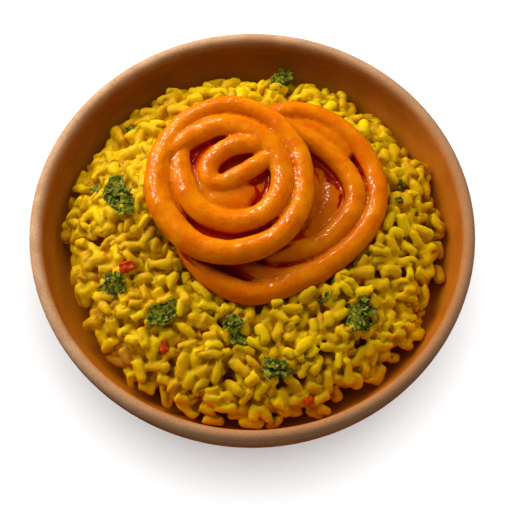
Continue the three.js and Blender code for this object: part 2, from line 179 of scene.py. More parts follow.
class Finish:
    """One material, with the Principled shader that it feeds. Constants go straight on its sockets."""

    def __init__(self, name, **constants):
        self.material = bpy.data.materials.new(name)
        self.material.use_nodes = True
        self.tree = self.material.node_tree
        self.shader = self.tree.nodes["Principled BSDF"]
        for socket, value in constants.items():
            self.shader.inputs[socket.replace("_", " ")].default_value = value

    def add(self, kind, settings, sockets, output=0):
        """Adds a node: first its settings, then the values and links of its sockets."""
        node = self.tree.nodes.new("ShaderNode" + kind)
        for name, value in settings.items():
            setattr(node, name, value)
        for name, value in sockets.items():
            self.feed(node.inputs[name], value)
        return Tone(self, node.outputs[output])

    def feed(self, socket, value):
        if isinstance(value, Tone):
            self.tree.links.new(value.socket, socket)
        else:
            socket.default_value = value

    def set(self, name, value):
        self.feed(self.shader.inputs[name], value)

    def place(self):
        return self.add("TexCoord", {}, {}, "Object")

    def marked(self, name):
        """The number that mark() gave each vertex under this name."""
        return self.add("Attribute", {"attribute_name": name}, {}, "Fac")

    def scaled(self, place, scale):
        return self.add("VectorMath", {"operation": "MULTIPLY"}, {0: place, 1: scale})

    def towards(self, place, direction):
        """How far a place lies in a direction, in metres."""
        return self.add("VectorMath", {"operation": "DOT_PRODUCT"}, {0: place, 1: direction}, "Value")

    def noise(self, size, detail, roughness, place):
        """A mottle from 0 to 1 whose blotches are about this large, in millimetres."""
        sockets = {"Vector": place, "Scale": 1 / (size * MM), "Detail": detail, "Roughness": roughness}
        return self.add("TexNoise", {}, sockets)

    def between(self, value, low, high):
        """0 below low, 1 above high, and smooth between them."""
        sockets = {"Value": value, "From Min": low, "From Max": high}
        return self.add("MapRange", {"interpolation_type": "SMOOTHSTEP"}, sockets)

    def mix(self, factor, first, second):
        return self.add("Mix", {"data_type": "RGBA"}, {0: factor, 6: first, 7: second}, 2)

    def bump(self, height, distance, strength=1.0):
        """Relief of this depth, in millimetres."""
        sockets = {"Height": height, "Distance": distance * MM, "Strength": strength}
        self.set("Normal", self.add("Bump", {}, sockets))


# The rim is painted darker towards the front right, and the inside wall near the lip darker at the back, as
# painted shade. Deeper down the inside wall is painted a lighter orange, as painted light that lifts the
# shade near the rice. Below the bead the outside is painted darker and warmer than the rim, as painted shade.
# Throwing left streaks all round the outside, below the rim.
rim_colours = [paint(196, 148, 108), paint(216, 172, 132)]
rim_shade_colour = paint(172, 122, 80)
rim_speck = paint(134, 84, 52)
outside_shaded_colours = [paint(166, 86, 22), paint(196, 108, 32)]
outside_bloom = paint(196, 122, 66)
outside_speck = paint(122, 62, 22)
inside_colours = [paint(186, 102, 4), paint(200, 116, 10)]
inside_painted_light = paint(244, 152, 18)
inside_shade_colour = paint(128, 66, 3)
inside_speck = paint(124, 60, 4)
front_right_shade_side = (0.8, -0.6, 0)
back_shade_side = (-0.3, 0.95, 0)
back_shade_reach = 0.85 * bowl_radius
throwing_stretch = (0.12, 0.12, 1)
rim_depth = 2.4 * MM
painted_light_start = 5 * MM
painted_light_end = 16 * MM
clay_relief = 0.3

clay = Finish("fired_clay", Roughness=0.7, Specular_IOR_Level=0.2)
place = clay.place()
radius = clay.add("VectorMath", {"operation": "LENGTH"}, {0: clay.scaled(place, (1, 1, 0))}, "Value")
height = clay.add("SeparateXYZ", {}, {0: place}, "Z")
middle_depth = (outer_depth + inner_depth) / 2
down = ((lip_height - height) / middle_depth).clamped()
wall_middle = (1 - down * down) ** 0.5 * ((bowl_radius + inner_radius) / 2)
inside = clay.between(wall_middle - radius, -0.1 * lip_radius, 1.6 * lip_radius)
mottle = clay.noise(9, 4, 0.6, place)
speckle = clay.noise(0.8, 3, 0.75, place)
grit = clay.noise(0.22, 2, 0.6, place)
throwing = clay.noise(1.4, 2, 0.5, clay.scaled(place, throwing_stretch))
bloom = clay.between(mottle, 0.3, 0.7)
speck = clay.between(speckle, 0.5, 0.72)
# Painted shade: a mask that darkens the rim towards the front right and weakens the painted light inside
# there.
front_right_shade = clay.between(clay.towards(place, front_right_shade_side), -bowl_radius, bowl_radius)
rim_colour = clay.mix(bloom, *rim_colours)
rim_colour = clay.mix(front_right_shade * 0.9, rim_colour, rim_shade_colour)
rim_colour = clay.mix(speck * 0.6, rim_colour, rim_speck)
outside_colour = clay.mix(clay.between(throwing, 0.35, 0.65), *outside_shaded_colours)
outside_colour = clay.mix(bloom * 0.35, outside_colour, outside_bloom)
outside_colour = clay.mix(speck * 0.5, outside_colour, outside_speck)
# Painted shade: below the bead the outside takes darker, warmer colours than the rim.
below = clay.between(lip_height - height, 0, rim_depth)
outside_colour = clay.mix(below, rim_colour, outside_colour)
deep = clay.between(lip_height - height, painted_light_start, painted_light_end)
# Painted shade: the inside wall near the lip is darker at the back.
back_wall_shade = clay.between(clay.towards(place, back_shade_side), 0, back_shade_reach) * (1 - deep * 0.55)
inside_colour = clay.mix(clay.between(mottle, 0.35, 0.7), *inside_colours)
# Painted light: deeper down the inside wall is a lighter orange, less so towards the front right.
inside_colour = clay.mix(deep * (0.9 - front_right_shade * 0.45), inside_colour, inside_painted_light)
inside_colour = clay.mix(back_wall_shade, inside_colour, inside_shade_colour)
inside_colour = clay.mix(clay.between(speckle, 0.55, 0.8) * 0.3, inside_colour, inside_speck)
clay.set("Base Color", clay.mix(inside, outside_colour, inside_colour))
clay.set("Roughness", 0.72 - inside * 0.22 + mottle * 0.08)
relief = (speckle * 0.6 + grit * 0.4) * (1 - inside * 0.7) + throwing * below * (1 - inside) * 1.2
clay.bump(relief, clay_relief, 0.9)
bowl.data.materials.append(clay.material)
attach(bowl, "root")
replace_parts(bowl, "bowl")

# ---- the jalebis ----
# Two spirals of thin fermented batter, piped into hot oil, fried crisp and soaked in saffron syrup. Each is a
# few strands that fused where they touched. The front one leans on the other, which has sunk into the rice.
# A strand's knots lie in its jalebi's plane: (angle in degrees, radius, lift, half width), in millimetres.
front_centre = (-7.1, 12.6, 58.4)
front_tilt = (1.5, -1)
front_ring = [
    (1, 24.4, 0, 3.5), (41, 24.9, 0, 3.5), (76, 26.8, 0, 3.5), (105, 26.9, 0, 3.6), (140, 25.4, 0, 3.9),
    (181, 24.5, 0, 4.6), (216, 24.7, 0, 4.5), (251, 25.9, 0, 4.3), (290, 25.7, 0, 4.2), (325, 25.1, 0, 3.8),
]
front_inner_ring = [
    (144, 20, 0.2, 2.5), (160, 17.9, 0.2, 3.4), (186, 15.9, 0.2, 4.4), (216, 15.3, 0.2, 4.3),
    (251, 15, 0, 4.1), (289, 15.9, 0, 4.1), (330, 16.9, 0, 4.2), (370, 17.4, 0, 4.2),
    (411, 17.8, 0.2, 4.2), (450, 19.3, 0.3, 4.2), (487, 20.4, 0.2, 4), (512, 22.4, 0, 3.8),
]
front_hook = [
    (48, 17.4, 0.3, 3.1), (61, 14.1, 0.8, 3.5), (78, 12.5, 1, 3.6), (95, 11.1, 1, 3.5),
    (116, 9.8, 1, 3.4), (140, 8.9, 0.8, 3.4), (163, 7.8, 0.6, 3.3), (188, 6.3, 0.5, 3.3),
    (206, 3.7, 0.6, 3.3), (23, 2.4, 0.8, 3.3), (29, 7.4, 0.6, 3.4), (32, 14.8, 0.2, 3.2),
]
front_coil = [
    (117, 11.3, -2, 4.4), (149, 9.6, -1.6, 4.8), (196, 8, -1, 5.4),
    (241, 7.8, -0.6, 5.6), (285, 7.3, -0.6, 5.4), (314, 6.8, -1, 4.2),
]
back_centre = (16.1, 11.7, 50)
back_tilt = (2, 4)
back_ring = [
    (98, 30.1, 0, 3.7), (78, 29, 0, 3.8), (56, 27.4, 0, 3.8), (31, 26.4, 0, 3.8), (0, 26.2, 0, 3.8),
    (-28, 25.6, 0, 3.8), (-50, 25.6, 0, 3.8), (-72, 27.4, 0, 3.8), (-92, 29.8, -0.5, 3.9),
    (-108, 32, -1.6, 4.2), (-127, 32, -2.6, 4.2), (-154, 28.1, -3.2, 3.8), (-190, 26, -3.4, 3.7),
    (-223, 27.3, -2.8, 3.7), (-249, 29.6, -1, 3.7),
]
back_inner_ring = [
    (100, 24.3, 0.1, 3.5), (84, 20.5, 0.2, 4), (66, 18.2, 0.2, 4), (43, 17.3, 0.2, 3.8),
    (19, 17.9, 0.2, 3.8), (-6, 18.8, 0.2, 3.8), (-36, 18, 0.2, 3.8), (-68, 19.2, 0.1, 3.9),
    (-92, 21.3, 0, 3.9), (-112, 24.9, -0.6, 3.6),
]
back_folded_end = [(92, 25.6, 0.3, 2.4), (76, 24, 0.5, 2.8), (58, 22.4, 0.5, 2.7), (43, 21.8, 0.3, 2.2)]
back_tail = [
    (-63, 26.9, -0.1, 3.2), (-78, 28.8, -0.2, 3.8), (-93, 31.9, -0.3, 4), (-105, 36.4, -0.4, 3.9),
    (-115, 40.1, -0.6, 3.9), (-128, 42.1, -1.2, 4), (-142, 42.7, -2.2, 4), (-155, 41.6, -3.2, 3.9),
    (-166, 38.2, -3.6, 3.5),
]
back_coil = [(5, 11.5, -2, 4.6), (-20, 11.4, -1.8, 5.2), (-50, 12.8, -1.6, 5.3), (-76, 15.8, -1.4, 4.8)]
back_hidden_coil = [
    (-86, 19.8, -1.2, 4), (-124, 17.7, -2, 4.6), (-165, 16.4, -2.4, 4.8), (-206, 16.4, -2.4, 4.8),
    (-241, 18.3, -1.8, 4.4), (-268, 20.5, -0.8, 4),
]
back_bridge = [(88, 19.5, -2, 4.4), (91, 9.3, -2.6, 5.6), (12, 3.1, -2.6, 6), (-70, 7, -2.4, 5)]
# A web closes the gaps low down between the strands: (x, y, half length, half width, lift, thickness).
front_webs = [(0, 0, 24, 24, -1.9, 1.6)]
back_webs = [(0, 0, 26, 25, -2, 1.6), (-25, -25, 11, 11, -3.4, 1.6)]
web_sides = 64
low_flatness = 0.5
strand_rounding = 6
strand_steps = 14
front_syrup_and_shade_level = 0
back_syrup_and_shade_level = 0.9
front_seed = 23
back_seed = 11
# Swellings, dimples and blisters of the fried skin: (height, size), in millimetres.
batter_relief = [(0.26, 6), (0.12, 2.2), (0.05, 0.9)]
batter_grain = 0.5 * MM
gap_reach = 7 * MM
ray_lean = 0.9
ray_start = 0.25


def pick(piece):
    """Selects one piece alone and makes it the active one."""
    bpy.ops.object.select_all(action="DESELECT")
    piece.select_set(True)
    bpy.context.view_layer.objects.active = piece


def join(name, pieces, onto):
    """Joins pieces onto one of them, under this name."""
    pick(onto)
    for piece in pieces:
        piece.select_set(True)
    bpy.ops.object.join()
    onto.name = onto.data.name = name
    return onto


def pipe_strand(knots, closed=False, flatness=1.0):
    """One strand of batter: a bead drawn along its knots, with round ends."""
    bpy.ops.object.select_all(action="DESELECT")
    bpy.ops.curve.primitive_bezier_curve_add(location=(0, 0, 0))
    bead = bpy.context.object
    spline = bead.data.splines[0]
    spline.bezier_points.add(len(knots) - 2)
    places = []
    for point, (angle, radius, lift, half_width) in zip(spline.bezier_points, knots):
        turn = math.radians(angle)
        point.co = Vector((radius * math.cos(turn), radius * math.sin(turn), lift)) * MM
        point.radius = half_width
        point.handle_left_type = point.handle_right_type = "AUTO"
        places.append((point.co.copy(), half_width * MM))
    spline.use_cyclic_u = closed
    bead.data.bevel_depth = MM
    bead.data.bevel_resolution = strand_rounding
    bead.data.resolution_u = strand_steps
    bead.data.use_fill_caps = True
    bpy.ops.object.convert(target="MESH")
    pieces = [bpy.context.object]
    for place, half_width in [] if closed else (places[0], places[-1]):
        bpy.ops.mesh.primitive_uv_sphere_add(segments=20, ring_count=12, radius=half_width, location=place)
        bpy.ops.object.transform_apply()
        pieces.append(bpy.context.object)
    strand = join("strand", pieces, pieces[-1])
    if flatness < 1:
        middle = MM * sum(knot[2] for knot in knots) / len(knots)
        bpy.ops.object.mode_set(mode="EDIT")
        bpy.ops.mesh.select_all(action="SELECT")
        bpy.ops.transform.resize(value=(1, 1, flatness), center_override=(0, 0, middle))
        bpy.ops.object.mode_set(mode="OBJECT")
    return strand


def spread_web(x, y, long, wide, lift, thickness):
    """The thin skin of batter and syrup that closes the gaps between the strands."""
    bpy.ops.object.select_all(action="DESELECT")
    middle = Vector((x, y, lift)) * MM
    bpy.ops.mesh.primitive_cylinder_add(vertices=web_sides, radius=MM, depth=MM, location=middle)
    bpy.context.object.scale = (long, wide, thickness)
    bpy.ops.object.transform_apply()
    return bpy.context.object


def finish_with(piece, kind, **settings):
    """Adds one modifier to a piece and applies it."""
    pick(piece)
    modifier = piece.modifiers.new(kind.lower(), kind)
    for name, value in settings.items():
        setattr(modifier, name, value)
    bpy.ops.object.modifier_apply(modifier=modifier.name)


def push_out(piece, rule):
    """Moves each vertex along its normal, by a rule that gives millimetres from a place in millimetres."""
    normals = [vertex.normal.copy() for vertex in piece.data.vertices]
    for vertex, normal in zip(piece.data.vertices, normals):
        vertex.co += normal * rule(vertex.co / MM) * MM


def swell(piece, relief, shift=Vector()):
    """Swells and dimples a piece, by layers of (height, size) in millimetres."""
    push_out(piece, lambda place: sum(rise * noise.noise(place / size + shift) for rise, size in relief))


def mark(piece, name, values):
    """Gives each vertex a number that the finish can read."""
    attribute = piece.data.attributes.new(name, "FLOAT", "POINT")
    attribute.data.foreach_set("value", np.asarray(values, np.float32))


def fry_jalebi(name, centre, tilt, ring, round_strands, low_strands, webs, syrup_and_shade_level, seed):
    """Joins the strands to one skin, makes it as uneven as fried batter and lays it in its place."""
    strands = [spread_web(*web) for web in webs] + [pipe_strand(ring, closed=True)]
    strands += [pipe_strand(knots) for knots in round_strands]
    strands += [pipe_strand(knots, flatness=low_flatness) for knots in low_strands]
    jalebi = join(name, strands, strands[-1])
    finish_with(jalebi, "REMESH", mode="VOXEL", voxel_size=batter_grain, use_smooth_shade=True)
    finish_with(jalebi, "SMOOTH", factor=0.6, iterations=6)
    swell(jalebi, batter_relief, Vector((seed, 2 * seed, 3 * seed)))
    mark(jalebi, "depth", [syrup_and_shade_level - vertex.co.z / MM for vertex in jalebi.data.vertices])
    pick(jalebi)
    jalebi.rotation_euler = (math.radians(tilt[0]), math.radians(tilt[1]), 0)
    jalebi.location = Vector(centre) * MM
    bpy.ops.object.transform_apply()
    return jalebi


def mark_crevices(piece, blockers):
    """Marks how closed in each vertex is, from 0 in the open to 1 in a deep gap, by a few rays from it."""
    trees = [BVHTree.FromObject(blocker, bpy.context.evaluated_depsgraph_get()) for blocker in blockers]
    tilts = [(0, 0)] + [(ray_lean, quarter) for quarter in range(4)]
    closed_in = np.zeros(len(piece.data.vertices), np.float32)
    for i, vertex in enumerate(piece.data.vertices):
        normal = vertex.normal
        aside = normal.orthogonal().normalized()
        other = normal.cross(aside)
        start = vertex.co + normal * ray_start * MM
        for lean, quarter in tilts:
            turn = quarter * math.pi / 2
            ray = (normal + (aside * math.cos(turn) + other * math.sin(turn)) * lean).normalized()
            nearest = gap_reach
            for tree in trees:
                distance = tree.ray_cast(start, ray, nearest)[3]
                nearest = min(nearest, distance if distance is not None else gap_reach)
            closed_in[i] += (1 - nearest / gap_reach) / len(tilts)
    mark(piece, "crevice", closed_in)


jalebi_back = fry_jalebi(
    "jalebi_behind", back_centre, back_tilt, back_ring, [back_inner_ring, back_folded_end, back_tail],
    [back_coil, back_hidden_coil, back_bridge], back_webs, back_syrup_and_shade_level, back_seed,
)
jalebi_front = fry_jalebi(
    "jalebi_in_front", front_centre, front_tilt, front_ring, [front_inner_ring, front_hook],
    [front_coil], front_webs, front_syrup_and_shade_level, front_seed,
)
jalebis = [jalebi_back, jalebi_front]

# The batter is painted darker low down and in the crevices, as painted shade, and deep red low in the gaps,
# partly for the syrup there and partly as painted shade. On top the syrup stands in drops, so the wet shine
# comes in spots there.
fried_colours = [paint(222, 114, 2), paint(234, 138, 4)]
crumb_colour = paint(248, 150, 10)
low_shade_colour = paint(200, 82, 2)
crevice_shade_colour = paint(158, 22, 4)
gap_syrup_and_shade_colour = paint(168, 20, 4)
drop_size = 0.7
drop_relief = 0.05
batter = Finish(
    "syrup_soaked_batter", Roughness=0.3, Specular_IOR_Level=0.12, Specular_Tint=(1, 0.6, 0.2, 1),
    Coat_Roughness=0.16, Coat_IOR=2, Subsurface_Weight=0.8, Subsurface_Radius=(1, 0.3, 0.05),
    Subsurface_Scale=3 * MM,
)
place = batter.place()
crevice = batter.marked("crevice")
depth = batter.marked("depth")
toast = batter.noise(7, 3, 0.5, place)
crumb = batter.noise(1.6, 3, 0.65, place)
drops = batter.noise(drop_size, 0, 0.5, place)
batter_colour = batter.mix(batter.between(toast, 0.35, 0.68), *fried_colours)
batter_colour = batter.mix(batter.between(crumb, 0.55, 0.8) * 0.3, batter_colour, crumb_colour)
# Painted shade: the batter is darker low down.
batter_colour = batter.mix(batter.between(depth, -3, -0.6) * 0.5, batter_colour, low_shade_colour)
# Painted shade: darker where the batter is closed in by other strands.
batter_colour = batter.mix(batter.between(crevice, 0.22, 0.55), batter_colour, crevice_shade_colour)
# Deep red low in the gaps: partly syrup, partly painted shade.
in_gap = batter.between(depth, -1.3, 0.4) * batter.between(crevice, 0, 0.07)
batter.set("Base Color", batter.mix(in_gap, batter_colour, gap_syrup_and_shade_colour))
facing = batter.add("NewGeometry", {}, {}, "Normal")
upward = batter.add("SeparateXYZ", {}, {0: facing}, "Z")
batter.set("Coat Weight", batter.between(drops, 0.615, 0.635) * batter.between(upward, 0.62, 0.84))
batter.bump(drops, drop_relief)
for jalebi, node in (jalebi_back, "jalebi_back"), (jalebi_front, "jalebi_front"):
    mark_crevices(jalebi, jalebis)
    jalebi.data.materials.append(batter.material)
    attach(jalebi, "root")
    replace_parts(jalebi, node)

# ---- the rice ----
# Plump short-grained rice, cooked soft with turmeric and spooned into the bowl in a mound. The swollen grains
# cling together in clumps. Some are broken off square, and the gaps between them are painted brown, as
# painted shade out of the light.

# The heap, in millimetres: its uneven edge, its dome, the pile on the left and the hollow at the front.
edge_radius = 62.4
edge_height = 37
edge_slope = 1.5
edge_uneven = 2.6
edge_waves = [(3, 1, 0.7), (7, 0.7, 0), (19, 1, 0), (31, 0.8, 1)]
mound_rise = 11
mound_power = 3
pile_x, pile_y, pile_rise, pile_spread = -33, 14, 7.8, 14
front_hollow = 0.6
# The grains stand above the bare heap, in clumps and ripples, and lie lower and more level near the edge.
grain_rise = 1.6
clump_rise, clump_size = 3.4, 8
ripple_rise, ripple_size = 0.8, 4
edge_drop = 2
edge_band_start, edge_band_width = 52, 10
edge_calm = 0.5
under_jalebi = 0.3
under_herb = 0.9
herb_margin = 1.05
# The core under the grains.
bed_depth = 4.5
bed_levels = [6, 11, 16, 20]
bed_edge = 57
bed_top = 25
bed_floor = 4.6
bed_gap = 0.5
bed_rings = 32
bed_turns = 96


def heap_edge(turn):
    """Radius of the heap's uneven edge at an angle."""
    waves = sum(rise * np.sin(count * turn + shift) for count, rise, shift in edge_waves)
    return edge_radius + 0.35 * edge_uneven * waves - front_hollow * np.maximum(0, -np.sin(turn)) ** 6


def mound(x, y):
    """Height of the bare heap, in millimetres."""
    radius = np.hypot(x, y) * edge_radius / heap_edge(np.arctan2(y, x))
    dome = mound_rise * (1 - np.minimum(1, radius / edge_radius) ** mound_power)
    from_pile = np.hypot(x - pile_x, y - pile_y) / pile_spread
    slump = np.maximum(0, radius - edge_radius) * edge_slope
    return edge_height + dome + pile_rise * np.exp(-(from_pile ** 2)) - slump


def lump(x, y, size, layer):
    """Smooth unevenness from -1 to 1 whose lumps are about this large. Each layer has its own."""
    return noise.noise((x / size, y / size, layer))


bed_profile = [(0, bed_floor * MM)]
bed_profile += [(inner_wall_radius(z * MM) - bed_gap * MM, z * MM) for z in bed_levels]
bed_profile += [(radius * MM, bed_top * MM) for radius in np.linspace(bed_edge, 0, bed_rings)]
bed = turn_profile("rice_bed", bed_profile, bed_turns)
for vertex in bed.data.vertices:
    x, y, z = vertex.co / MM
    if z > bed_top - 1:
        lumps = 1.3 * lump(x, y, 5, 0) + 0.6 * lump(x, y, 2, 5)
        vertex.co.z = (mound(x, y) - bed_depth + lumps) * MM

# A height map of the heap: the surface so far, and the target that the grains fill it up to.
cell = 0.5
half_grid = 68
ray_foot = 20
ray_length = 60
axis = np.arange(-half_grid, half_grid + cell, cell)
grid_x, grid_y = np.meshgrid(axis, axis, indexing="ij")
surface = mound(grid_x, grid_y) - bed_depth
near_edge = np.clip((np.hypot(grid_x, grid_y) - edge_band_start) / edge_band_width, 0, 1) ** 2
target = mound(grid_x, grid_y) + grain_rise - edge_drop * near_edge
depsgraph = bpy.context.evaluated_depsgraph_get()
jalebi_trees = [BVHTree.FromObject(jalebi, depsgraph) for jalebi in jalebis]
for i, x in enumerate(axis):
    for j, y in enumerate(axis):
        clump = lump(x, y, clump_size, 2)
        clump *= clump_rise * (1 - edge_calm * near_edge[i, j])
        target[i, j] += clump + ripple_rise * lump(x, y, ripple_size, 7)
        foot = Vector((x, y, ray_foot)) * MM
        for tree in jalebi_trees:
            hit = tree.ray_cast(foot, Vector((0, 0, 1)), ray_length * MM)[0]
            if hit:
                target[i, j] = min(target[i, j], hit.z / MM - under_jalebi)

# Where each sprig of herb lies, so that the rice under it stays low: x, y, half length, half width, turn.
sprigs = {
    "leaf_left": (-44.8, 10.5, 8, 4.6, 118),
    "leaf_lower_left": (-47.2, -18.8, 4.6, 2.8, 8),
    "leaf_front_left": (-29.4, -31, 5.4, 3.8, 25),
    "leaf_front_middle": (-5.6, -37, 4.4, 3.2, -35),
    "leaf_front_edge": (7.5, -49.8, 4, 2.8, 15),
    "leaf_front_right": (36.3, -30, 5.8, 4.2, 60),
    "leaf_back": (10.4, 59.8, 3.8, 3, 80),
}
for x, y, long, wide, turn in sprigs.values():
    c, s = math.cos(math.radians(turn)), math.sin(math.radians(turn))
    along = (grid_x - x) * c + (grid_y - y) * s
    beside = (grid_y - y) * c - (grid_x - x) * s
    under = np.hypot(along / long, beside / wide) < herb_margin
    target[under] = np.minimum(target[under], mound(grid_x, grid_y)[under] + under_herb)

# One grain, in millimetres. It is built of rings, and squeezed by the grains round it.
grain_length = 7.9
grain_half_width = 2.15
grain_squeeze = 0.9
grain_press = 0.6
grain_sides = 8
grain_stations = np.array([-0.5, -0.485, -0.4, -0.2, 0.03, 0.24, 0.41, 0.487, 0.5])
# How a grain is laid: the places drawn for it, the spots tried round the best, and the slopes tried on each.
place_draws = 12
edge_reach = 0.3
spot_count = 16
spot_reach = 1.6
best_spots = 3
most_excess = 1.8
grain_samples = 9
sampled_share = 0.46
slope_count = 13
steepest = 0.8
tip_cost = 0.5
wall_gap = 0.2
jalebi_reach = 8


def cell_of(x, y):
    """The cells of the height map at these places."""
    last = len(axis) - 1
    i = np.clip(np.rint((x + half_grid) / cell).astype(int), 0, last)
    j = np.clip(np.rint((y + half_grid) / cell).astype(int), 0, last)
    return i, j


def grain_radius(along, length, half_width, blunt):
    """Half thickness of a grain at a distance from its middle."""
    share = np.minimum(1, np.abs(2 * along / length))
    return half_width * np.maximum(0, 1 - share ** blunt) ** (1 / blunt)


def low_place(random):
    """A place where the heap still lacks the most height, of a few drawn at random, and how much it lacks."""
    turn = random.random(place_draws) * math.tau
    radius = (heap_edge(turn) + edge_reach) * np.sqrt(random.random(place_draws))
    tries_x, tries_y = radius * np.cos(turn), radius * np.sin(turn)
    cells = cell_of(tries_x, tries_y)
    room = target[cells] - surface[cells]
    best = int(np.argmax(room))
    return tries_x[best], tries_y[best], room[best]


def is_free(x, y, z, slope, yaw, flat, thick):
    """Whether a grain clears the wall of the bowl and the jalebis."""
    for u, r in zip(flat, thick):
        point = Vector((x + u * math.cos(yaw), y + u * math.sin(yaw), z + slope * u))
        if math.hypot(point.x, point.y) + r > inner_wall_radius(point.z * MM) / MM - wall_gap:
            return False
        for tree in jalebi_trees:
            nearest, normal, _, distance = tree.find_nearest(point * MM, jalebi_reach * MM)
            if nearest and (distance < r * MM or (point * MM - nearest).dot(normal) < 0):
                return False
    return True


def settle(x, y, length, half_width, blunt, tip, random):
    """Tries a grain on several spots round a place and lets it lie where it sinks lowest, or nowhere."""
    yaw = random.uniform(0, math.pi, spot_count)
    spot_x = x + random.uniform(-spot_reach, spot_reach, spot_count)
    spot_y = y + random.uniform(-spot_reach, spot_reach, spot_count)
    c, s = np.cos(yaw)[:, None], np.sin(yaw)[:, None]
    along = np.linspace(-sampled_share, sampled_share, grain_samples) * length
    thick = grain_radius(along, length, half_width, blunt) * grain_squeeze * grain_press
    support = np.full((spot_count, len(along)), -1e9)
    for side in (-0.7, 0, 0.7):
        across = side * thick
        under_x = spot_x[:, None] + along * c - across * s
        under_y = spot_y[:, None] + along * s + across * c
        support = np.maximum(support, surface[cell_of(under_x, under_y)] + thick * math.sqrt(1 - side ** 2))
    slopes = np.linspace(-steepest, steepest, slope_count) + tip
    rests = (support[:, None, :] - slopes[None, :, None] * along).max(2)
    slope = slopes[np.argmin(rests + tip_cost * np.abs(slopes - tip), 1)]
    flat = along / np.sqrt(1 + slope[:, None] ** 2)
    z = (support - slope[:, None] * flat).max(1)
    tops = z[:, None] + slope[:, None] * flat + thick
    limit = target[cell_of(spot_x[:, None] + flat * c, spot_y[:, None] + flat * s)]
    excess = (tops - limit).max(1)
    for i in np.argsort(excess)[:best_spots]:
        if excess[i] < most_excess and is_free(spot_x[i], spot_y[i], z[i], slope[i], yaw[i], flat[i], thick):
            return spot_x[i], spot_y[i], z[i], slope[i], yaw[i]
    return None


def raise_surface(x, y, z, slope, yaw, length, half_width, blunt):
    """Adds a settled grain to the height of the heap."""
    reach = int(math.ceil(length / 2 / cell)) + 1
    i, j = cell_of(x, y)
    rows = slice(max(0, i - reach), i + reach + 1)
    columns = slice(max(0, j - reach), j + reach + 1)
    dx, dy = grid_x[rows, columns] - x, grid_y[rows, columns] - y
    along = (dx * math.cos(yaw) + dy * math.sin(yaw)) * math.sqrt(1 + slope ** 2)
    beside = dy * math.cos(yaw) - dx * math.sin(yaw)
    thick = grain_radius(along, length, half_width, blunt) * grain_squeeze
    inside = np.abs(beside) < thick
    flat = 1 / math.sqrt(1 + slope ** 2)
    top = z + slope * along * flat + np.sqrt(np.maximum(0, thick ** 2 - beside ** 2))
    patch = surface[rows, columns]
    patch[inside] = np.maximum(patch[inside], top[inside])


def grain_shape(length, half_width, blunt, bend, taper, squash, cut_end, cut_slope):
    """Vertices of one grain along X, as rings between two end points. One end may be broken off."""
    points = []
    for u in grain_stations * length:
        r = float(grain_radius(u, length, half_width, blunt)) * (1 + taper * u / length)
        lift = bend * ((2 * u / length) ** 2 - 0.4)
        if abs(u) >= 0.5 * length:
            points.append((u, lift, 0))
            continue
        for k in range(grain_sides):
            turn = math.tau * k / grain_sides
            points.append((u, lift + r * math.cos(turn), r * squash * math.sin(turn)))
    points = np.array(points)
    far_end = points[:, 0] > cut_end * length - cut_slope * points[:, 1]
    points[far_end, 0] = cut_end * length - cut_slope * points[far_end, 1]
    return points


sides = [(k, (k + 1) % grain_sides) for k in range(grain_sides)]
ring_starts = [1 + grain_sides * ring for ring in range(len(grain_stations) - 2)]
grain_faces = [(0, 1 + after, 1 + k) for k, after in sides]
for near, far in zip(ring_starts, ring_starts[1:]):
    grain_faces += [(near + k, near + after, far + after, far + k) for k, after in sides]
last = ring_starts[-1]
grain_faces += [(last + k, last + after, last + grain_sides) for k, after in sides]

# The grains go in by layers, large ones first. Each layer has its number of tries and its share of the size.
layers = [(1, 3000), (0.9, 3600), (0.72, 2200)]
length_spread = (0.78, 1.22)
width_spread = (0.8, 1.14)
end_shapes = [2.4, 3, 3.6, 4.6]
tips = [0, 0, 0, 0.6, -0.6, 1.1, -1.1]
least_room = 0.3
grain_seed = 20117
random = np.random.default_rng(grain_seed)
grains = []
top = target
for share, tries in layers:
    target = top.copy()
    for _ in range(tries):
        x, y, room = low_place(random)
        length = grain_length * share * random.uniform(*length_spread)
        half_width = grain_half_width * math.sqrt(share) * random.uniform(*width_spread)
        blunt = random.choice(end_shapes)
        tip = random.choice(tips)
        if room < least_room * half_width:
            continue
        settled = settle(x, y, length, half_width, blunt, tip, random)
        if settled:
            raise_surface(*settled, length, half_width, blunt)
            grains.append((settled, length, half_width, blunt))
        else:
            target[cell_of(x, y)] -= 1

# Each grain gets its own bend, taper, flatness, broken end, roll and tone. A few near one spot are tan.
most_bend = 0.6
most_taper = 0.5
flattest = 0.78
cut_ends = [0.5, 0.44, 0.38, 0.3]
most_cut_slope = 0.5
tan_x, tan_y, tan_reach = -44, -44, 3.2
tan_tone = -1
quarters = [(-1, -1), (1, -1), (1, 1), (-1, 1)]
batches = [[] for _ in quarters]
for (x, y, z, slope, yaw), length, half_width, blunt in grains:
    bend = random.uniform(0, most_bend)
    taper = random.uniform(-most_taper, most_taper)
    squash = random.uniform(flattest, 1)
    cut_end = random.choice(cut_ends)
    cut_slope = random.uniform(-most_cut_slope, most_cut_slope)
    shape = grain_shape(length, half_width, blunt, bend, taper, squash, cut_end, cut_slope)
    roll = random.uniform(0, math.tau)
    turn = Euler((roll, -math.atan(slope), yaw), "XYZ").to_matrix()
    quarter = quarters.index((math.copysign(1, x), math.copysign(1, y)))
    tone = random.random()
    if math.hypot(x - tan_x, y - tan_y) < tan_reach:
        tone = tan_tone
    batches[quarter].append((shape @ np.array(turn).T + (x, y, z), tone))

# Crushed and swollen rice fills the heap between the grains. It lies lower towards the front right.
paste_step = 0.8
paste_reach = 66
paste_foot = 60
paste_overhang = 0.8
paste_depth = 2.3
paste_uneven = 1.4
paste_tilt = 0.01
paste_cover = 0.4
paste_cells = 4
level_cells = 8
quarter_overlap = 1


